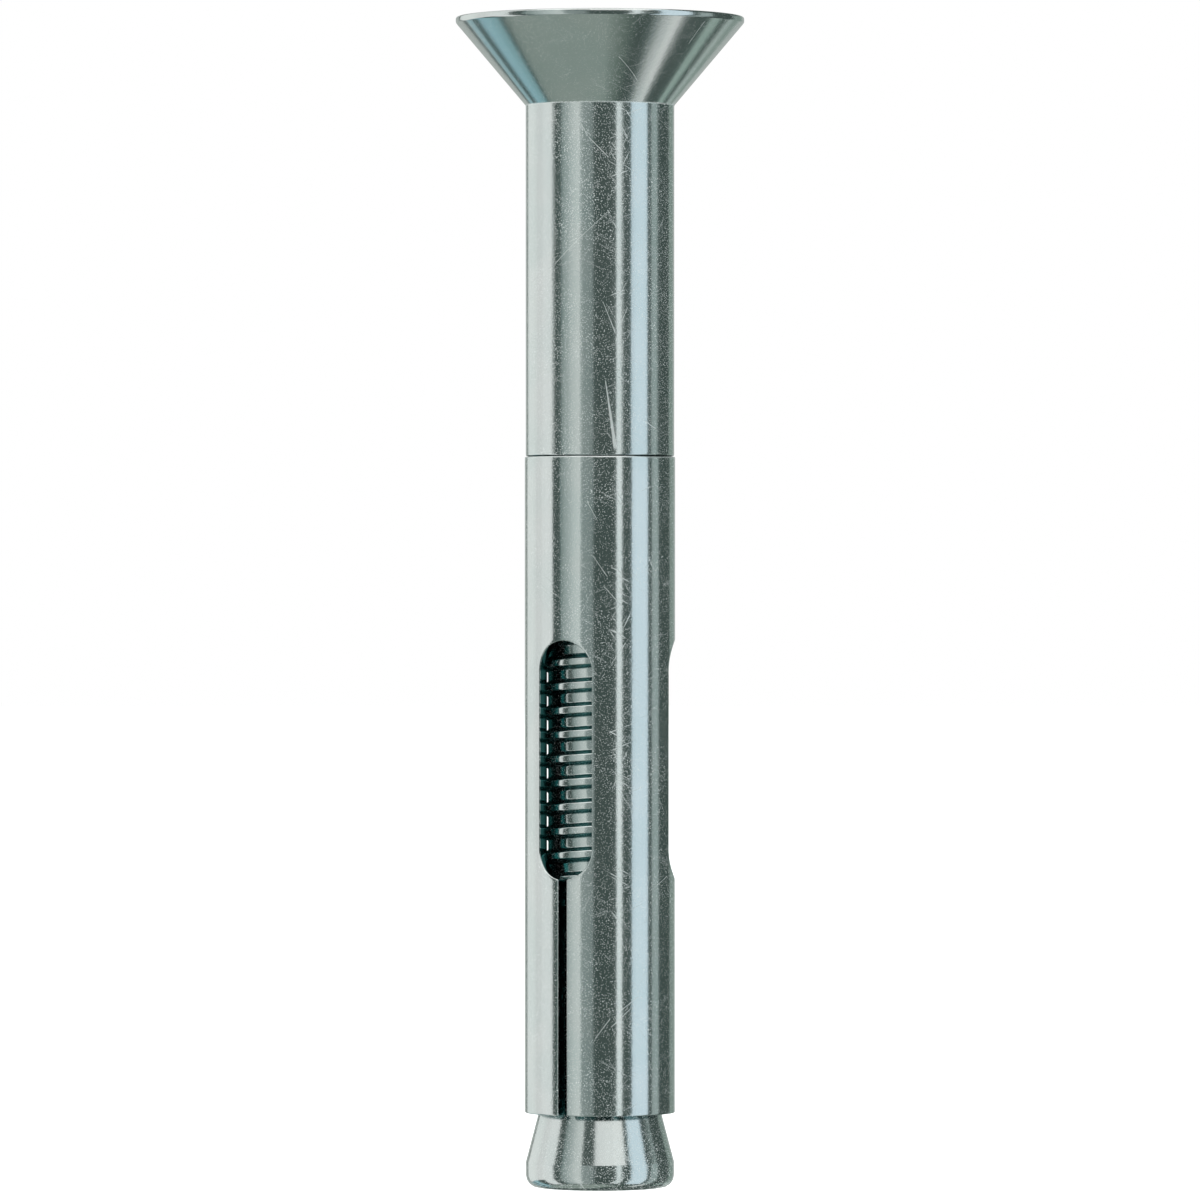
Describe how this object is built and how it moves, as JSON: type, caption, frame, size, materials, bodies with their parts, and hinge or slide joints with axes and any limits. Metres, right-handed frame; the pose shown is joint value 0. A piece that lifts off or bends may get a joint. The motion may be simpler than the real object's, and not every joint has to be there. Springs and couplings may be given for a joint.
{
  "type": "flat-head sleeve anchor",
  "caption": "Flat-head sleeve anchor: countersunk cross-recess nut, slotted expansion sleeve and threaded cone stud for flush fixing in masonry.",
  "frame": {"origin": "centre of the stud's flat end, which is the lowest point of the anchor's axis", "axes": "+Z along the axis from the expander end to the countersunk head; +X towards the middle of one sleeve window; right-handed"},
  "size_m": [0.0152, 0.0152, 0.0618],
  "materials": {
    "plated_stud": "bright zinc-plated carbon steel, rolled thread and turned cone with faint rings",
    "plated_sleeve": "bright zinc-plated steel tube with fine speckle and light handling scratches",
    "plated_nut": "bright zinc-plated carbon steel with fine speckle and light handling scratches"
  },
  "bodies": {
    "sleeve": {"expansion_sleeve": "plated_sleeve"},
    "nut": {"flat_head_nut": "plated_nut"},
    "stud": {"cone_stud": "plated_stud"}
  },
  "joints": [
    {"name": "nut_turn", "type": "hinge", "parent": "sleeve", "child": "nut", "pos_m": [0, 0, 0.03861], "axis": [0, 0, 1], "range_deg": [0, 2520]},
    {"name": "stud_travel", "type": "slide", "parent": "sleeve", "child": "stud", "axis": [0, 0, 1], "range_m": [-0.0089, 0]}
  ],
  "couplings": [
    {"joint": "stud_travel", "follows": "nut_turn", "m_per_rad": -0.00020213}
  ]
}
